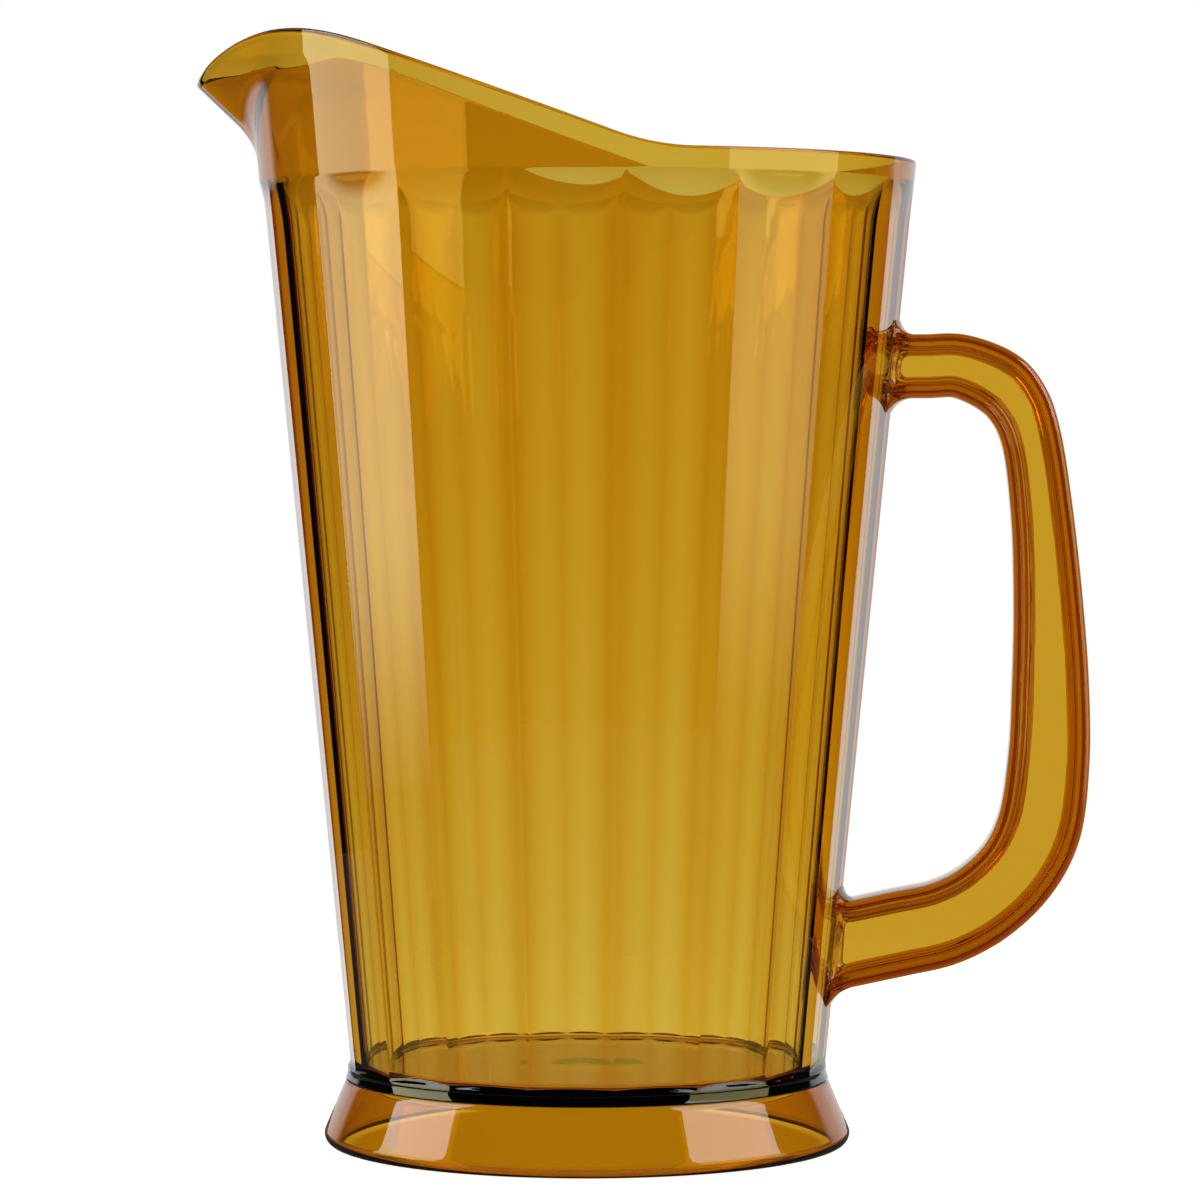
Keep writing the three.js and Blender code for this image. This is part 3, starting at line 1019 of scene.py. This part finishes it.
    def build(self) -> bpy.types.Object:
        """Builds the skin from the lower root round the loop to the upper root.

        Returns:
            The handle's object.
        """
        rows, ways = self.path()
        shares = np.linspace(0, 1, len(rows))
        flanges = self.top_flange + (self.low_flange - self.top_flange) * shares
        loop = []
        for (x, z, depth), way, flange in zip(rows, ways, flanges):
            normal = np.array([-way[1], way[0]])
            outline = self.section(depth, flange, 2 * self.root_reach, self.top_end_round)
            loop.append(np.column_stack([
                x + normal[0] * outline[:, 0], outline[:, 1], z + normal[1] * outline[:, 0]]))
        top = self.root(rows[0], -ways[0], flanges[0], self.top_end_round)
        top = top[:, self.mirror()]
        low = self.root(rows[-1], ways[-1], flanges[-1], self.low_end_round)
        stack = np.concatenate([top[::-1], loop, low])[::-1]
        skin = RingMesh("handle_skin")
        first, last = skin.rings(stack)
        size = stack.shape[1]
        skin.close(first, size, self.seat(stack[0]), End.FIRST)
        skin.close(last, size, self.seat(stack[-1]), End.LAST)
        return skin.make(self.vessel.axis_x)

    def mirror(self) -> np.ndarray:
        """Order of a ring's points when its inner and outer sides change places.

        Returns:
            The number of the point to take for each place in the ring.
        """
        outline = self.section(self.trial_depth, self.top_flange, 2 * self.root_reach, self.top_end_round)
        turned = outline * np.array([-1, 1])
        distance = np.linalg.norm(outline[:, None] - turned[None], axis=2)
        return np.argmin(distance, axis=1)

    def seat(self, ring: np.ndarray) -> np.ndarray:
        """The point on the wall's ridge in the middle of a root's end."""
        z = float(ring[:, 2].mean())
        return np.array([self.ridge(z) + self.bond_gap, 0, z])

    def dress(self) -> bpy.types.Object:
        """Builds the handle, gives it its finish and its body, and hides the imported node that it stands
        for.
        """
        return settle(self.build(), self.finish, Node.HANDLE)


def settle(piece: bpy.types.Object, finish: AmberSan, node: Node) -> bpy.types.Object:
    """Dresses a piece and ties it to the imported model.

    Args:
        piece: The piece's object, in place.
        finish: Its finish.
        node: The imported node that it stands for.

    Returns:
        The piece.
    """
    piece.data.materials.append(finish.material())
    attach(piece, "root")
    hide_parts(node.value)
    return piece


def seen_through(
    tree: bpy.types.NodeTree, backdrop: float | bpy.types.NodeSocket
) -> bpy.types.NodeSocket:
    """Gives 1 to rays from the camera, the backdrop's level to rays through the plastic, and 0 to others.

    Args:
        tree: The node tree to add the nodes to.
        backdrop: The backdrop's level.

    Returns:
        The output socket with that value.
    """
    path = add_node(tree, "ShaderNodeLightPath")
    through = add_node(
        tree, "ShaderNodeMath", {0: path.outputs["Is Transmission Ray"], 1: backdrop}, operation="MULTIPLY")
    either = add_node(
        tree, "ShaderNodeMath", {0: path.outputs["Is Camera Ray"], 1: through.outputs[0]},
        operation="MAXIMUM")
    return either.outputs[0]


@dataclass(frozen=True)
class WhiteFloor:
    """White paper, laid flat: matt, with a faint fibre, so that it only shows the pitcher's soft shadow.

    It is dimmed in reflections. Seen through the plastic, the floor beneath the pitcher shows a painted
    amber shadow: a disc in its glow that stands in for the dim amber light which reaches the floor there
    only through the plastic.
    """

    name: str = "White paper, laid flat"
    paper: str = "#FAFAF8"
    shade: str = "#F0F0EE"
    fibre_mm: float = 3.0
    fibre_detail: float = 3.0
    mirrored: float = 0.22
    # Painted amber shadow: the glow's colour in a disc beneath the pitcher, with the disc's radius and soft
    # edge
    painted_amber_shadow: str = "#D1B242"
    painted_shadow_radius_mm: float = 52.0
    painted_shadow_fade_mm: float = 3.0

    def material(self) -> bpy.types.Material:
        """Builds the node material, which shows near white to the camera and through the plastic, except
        for the painted amber shadow beneath the pitcher.

        Returns:
            The finished material.
        """
        material = bpy.data.materials.new(self.name)
        tree = empty_tree(material)
        place = add_node(tree, "ShaderNodeTexCoord").outputs["Object"]
        fibre = add_node(
            tree, "ShaderNodeTexNoise",
            {"Vector": place, "Scale": 1 / (self.fibre_mm * MM), "Detail": self.fibre_detail})
        tint = add_node(
            tree, "ShaderNodeMix",
            {"Factor": fibre.outputs["Fac"], "A": linear(self.shade), "B": linear(self.paper)},
            data_type="RGBA")
        mirror = add_node(tree, "ShaderNodeLightPath").outputs["Is Glossy Ray"]
        dim = add_node(
            tree, "ShaderNodeMapRange", {"Value": mirror, "To Min": 1.0, "To Max": self.mirrored})
        shown = add_node(
            tree, "ShaderNodeVectorMath", {0: tint.outputs["Result"], "Scale": dim.outputs["Result"]},
            operation="SCALE")
        lit = add_node(tree, "ShaderNodeBsdfDiffuse", {"Color": shown.outputs["Vector"]})
        span = add_node(tree, "ShaderNodeVectorMath", {0: place}, operation="LENGTH")
        # Mask of the painted amber shadow, a disc beneath the pitcher that fades out at its edge
        painted_amber_shadow = add_node(
            tree, "ShaderNodeMapRange",
            {"Value": span.outputs["Value"], "From Min": (self.painted_shadow_radius_mm - self.painted_shadow_fade_mm) * MM,
             "From Max": self.painted_shadow_radius_mm * MM, "To Min": 1.0, "To Max": 0.0})
        # The paper's tint with the painted amber shadow mixed in beneath the pitcher, used as the glow's
        # colour
        ground = add_node(
            tree, "ShaderNodeMix",
            {"Factor": painted_amber_shadow.outputs["Result"], "A": tint.outputs["Result"], "B": linear(self.painted_amber_shadow)},
            data_type="RGBA")
        way = add_node(tree, "ShaderNodeVectorMath", {0: place}, operation="NORMALIZE")
        along = add_node(tree, "ShaderNodeSeparateXYZ", {"Vector": way.outputs["Vector"]})
        behind = add_node(
            tree, "ShaderNodeMapRange",
            {"Value": along.outputs["Y"], "From Min": BACKDROP_EDGE, "From Max": BACKDROP_FULL,
             "To Max": BACKDROP_LEVEL})
        edge = add_node(
            tree, "ShaderNodeMath", {0: mirror, 1: behind.outputs["Result"]}, operation="MULTIPLY")
        seen = add_node(
            tree, "ShaderNodeMath", {0: seen_through(tree, BACKDROP_LEVEL), 1: edge.outputs[0]},
            operation="MAXIMUM")
        glow = add_node(
            tree, "ShaderNodeEmission", {"Color": ground.outputs["Result"], "Strength": seen.outputs[0]})
        both = add_node(tree, "ShaderNodeAddShader", {0: lit.outputs[0], 1: glow.outputs[0]})
        add_node(tree, "ShaderNodeOutputMaterial", {"Surface": both.outputs[0]})
        return material


@dataclass(frozen=True)
class StudioLamp:
    """One soft lamp that stands upright and faces the pitcher, in metres and degrees."""

    name: str
    bearing: float
    distance: float
    width: float
    low: float
    high: float
    radiance: float
    glow: str
    kind: LampKind
    dim_start: float = 0.277
    dim_end: float = 0.477
    dim_level: float = 0.08

    def build(self) -> bpy.types.Object:
        """Makes the lamp.

        Returns:
            The lamp's object.
        """
        lamp = bpy.data.lights.new(self.name, "AREA")
        lamp.shape = "RECTANGLE"
        lamp.color = linear(self.glow)[:3]
        lamp.size = self.width
        lamp.size_y = self.high - self.low
        lamp.energy = self.radiance * math.pi * lamp.size * lamp.size_y
        if self.kind is LampKind.PANEL:
            self.dim_edge(lamp)
        obj = bpy.data.objects.new(self.name, lamp)
        angle = math.radians(self.bearing)
        obj.location = (
            self.distance * math.sin(angle), -self.distance * math.cos(angle), (self.low + self.high) / 2)
        obj.rotation_euler = (math.pi / 2, 0, angle)
        obj.visible_camera = False
        obj.visible_transmission = self.kind is LampKind.SOFTBOX
        bpy.context.scene.collection.objects.link(obj)
        return obj

    def dim_edge(self, lamp: bpy.types.AreaLight) -> None:
        """Lets the lamp's light fall off smoothly towards its lower edge.

        Args:
            lamp: The lamp to dim.
        """
        tree = empty_tree(lamp)
        place = add_node(tree, "ShaderNodeNewGeometry").outputs["Parametric"]
        across = add_node(tree, "ShaderNodeSeparateXYZ", {"Vector": place})
        fall = add_node(
            tree, "ShaderNodeMapRange",
            {"Value": across.outputs["Y"], "From Min": self.dim_start, "From Max": self.dim_end,
             "To Min": self.dim_level},
            interpolation_type="SMOOTHSTEP")
        light = add_node(tree, "ShaderNodeEmission", {"Strength": fall.outputs["Result"]})
        add_node(tree, "ShaderNodeOutputLight", {"Surface": light.outputs["Emission"]})


@dataclass
class Studio:
    """The white ground, the lamps, the room and the camera, in metres and degrees."""

    axis_x: float

    # Floor
    floor_radius: float = 0.42
    floor_middle: float = 0.02
    floor_rings: int = 8
    floor_columns: int = 96
    floor_drop: float = 0.0002

    # Room, and the angles of elevation between which the backdrop falls to its top level
    room_white: str = "#FFFFFF"
    room_level: float = 0.015
    dimming_start: float = 2.6
    dimming_end: float = 4.8
    backdrop_top: float = 0.66

    # Lamps
    lamps: tuple[StudioLamp, ...] = (
        StudioLamp("panel_left", bearing=-82.0, distance=0.95, width=0.61, low=-0.3, high=0.35,
                   radiance=3.7, glow="#FFF8C8", kind=LampKind.PANEL),
        StudioLamp("panel_right", bearing=75.0, distance=0.95, width=0.82, low=-0.3, high=0.35,
                   radiance=2.35, glow="#FFF0A4", kind=LampKind.PANEL),
        StudioLamp("softbox_left", bearing=-82.0, distance=0.95, width=0.61, low=0.35, high=1.2,
                   radiance=3.8, glow="#FFFFFF", kind=LampKind.SOFTBOX),
        StudioLamp("softbox_right", bearing=75.0, distance=0.95, width=0.82, low=0.35, high=1.2,
                   radiance=3.4, glow="#FFFFFF", kind=LampKind.SOFTBOX),
    )

    # Camera
    camera_bearing: float = 3.61
    camera_distance: float = 1.057
    camera_height: float = 0.1521
    camera_tilt: float = 1.978
    camera_clip: float = 0.01
    image_size: int = 1200
    focal_px: float = 4967.0
    axis_px: float = 587.0
    sensor_mm: float = 36.0

    def build_floor(self) -> bpy.types.Object:
        """Makes the round floor as rings that lie flat.

        Returns:
            The floor's object.
        """
        angles = np.linspace(0, 2 * math.pi, self.floor_columns, endpoint=False)
        flat = np.column_stack([np.cos(angles), np.sin(angles), np.zeros_like(angles)])
        radii = np.linspace(self.floor_middle, 1, self.floor_rings) * self.floor_radius
        floor = RingMesh("floor")
        first, _ = floor.rings(np.array([flat * r / MM for r in radii]))
        floor.close(first, len(angles), np.zeros(3), End.FIRST)
        obj = floor.make(0.0)
        obj.location = (self.axis_x, 0, -self.floor_drop)
        obj.data.materials.append(WhiteFloor().material())
        return obj

    def build_room(self) -> None:
        """Sets the world: white to the camera, and a lit backdrop in a dim room to the plastic.

        The backdrop falls off with height, which deepens the plastic's colour towards the rim.
        """
        world = bpy.data.worlds.new("studio_room")
        bpy.context.scene.world = world
        tree = empty_tree(world)
        way = add_node(tree, "ShaderNodeTexCoord").outputs["Generated"]
        parts = add_node(tree, "ShaderNodeSeparateXYZ", {"Vector": way})
        fall = add_node(
            tree, "ShaderNodeMapRange",
            {"Value": parts.outputs["Z"], "From Min": math.sin(math.radians(self.dimming_start)),
             "From Max": math.sin(math.radians(self.dimming_end)), "To Min": BACKDROP_LEVEL,
             "To Max": self.backdrop_top})
        backdrop = add_node(
            tree, "ShaderNodeMapRange",
            {"Value": parts.outputs["Y"], "From Min": BACKDROP_EDGE, "From Max": BACKDROP_FULL,
             "To Min": self.room_level, "To Max": fall.outputs["Result"]})
        level = add_node(
            tree, "ShaderNodeMath",
            {0: seen_through(tree, fall.outputs["Result"]), 1: backdrop.outputs["Result"]},
            operation="MAXIMUM")
        light = add_node(
            tree, "ShaderNodeBackground", {"Color": linear(self.room_white), "Strength": level.outputs[0]})
        add_node(tree, "ShaderNodeOutputWorld", {"Surface": light.outputs["Background"]})

    def build_camera(self) -> bpy.types.Object:
        """Makes the camera at the photograph's viewing angle.

        Returns:
            The camera's object.
        """
        camera = bpy.data.cameras.new("camera")
        camera.sensor_width = self.sensor_mm
        camera.lens = self.focal_px / self.image_size * self.sensor_mm
        camera.clip_start = self.camera_clip
        obj = bpy.data.objects.new("camera", camera)
        bearing = math.radians(self.camera_bearing)
        place = Vector((math.sin(bearing), -math.cos(bearing), 0)) * self.camera_distance
        place += Vector((self.axis_x, 0, self.camera_height))
        pan = math.atan((self.image_size / 2 - self.axis_px) / self.focal_px)
        turn = Matrix.Rotation(bearing - pan, 4, "Z")
        tilt = Matrix.Rotation(math.pi / 2 - math.radians(self.camera_tilt), 4, "X")
        obj.matrix_world = Matrix.Translation(place) @ turn @ tilt
        bpy.context.scene.collection.objects.link(obj)
        bpy.context.scene.camera = obj
        return obj

    def build(self) -> None:
        """Makes floor, lamps, room and camera, and sets the plain view."""
        self.build_floor()
        for lamp in self.lamps:
            lamp.build()
        self.build_room()
        self.build_camera()
        bpy.context.scene.view_settings.view_transform = "Standard"


def main() -> None:
    """Builds the pitcher's pieces in order, then the studio."""
    logging.basicConfig(level=logging.INFO)
    low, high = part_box(Node.FOOT.value)
    axis_x = (low.x + high.x) / 2
    vessel = Vessel(axis_x, AmberSan("Amber SAN, moulded and polished, vessel"))
    foot = FootRing(axis_x, AmberSan("Amber SAN, moulded and polished, foot"))
    handle = Handle(vessel, AmberSan("Amber SAN, moulded and polished, handle"))
    for piece in (vessel, foot, handle):
        obj = piece.dress()
        log.info("%s: %d faces", obj.name, len(obj.data.polygons))
    Studio(axis_x).build()


if __name__ == "__main__":
    main()
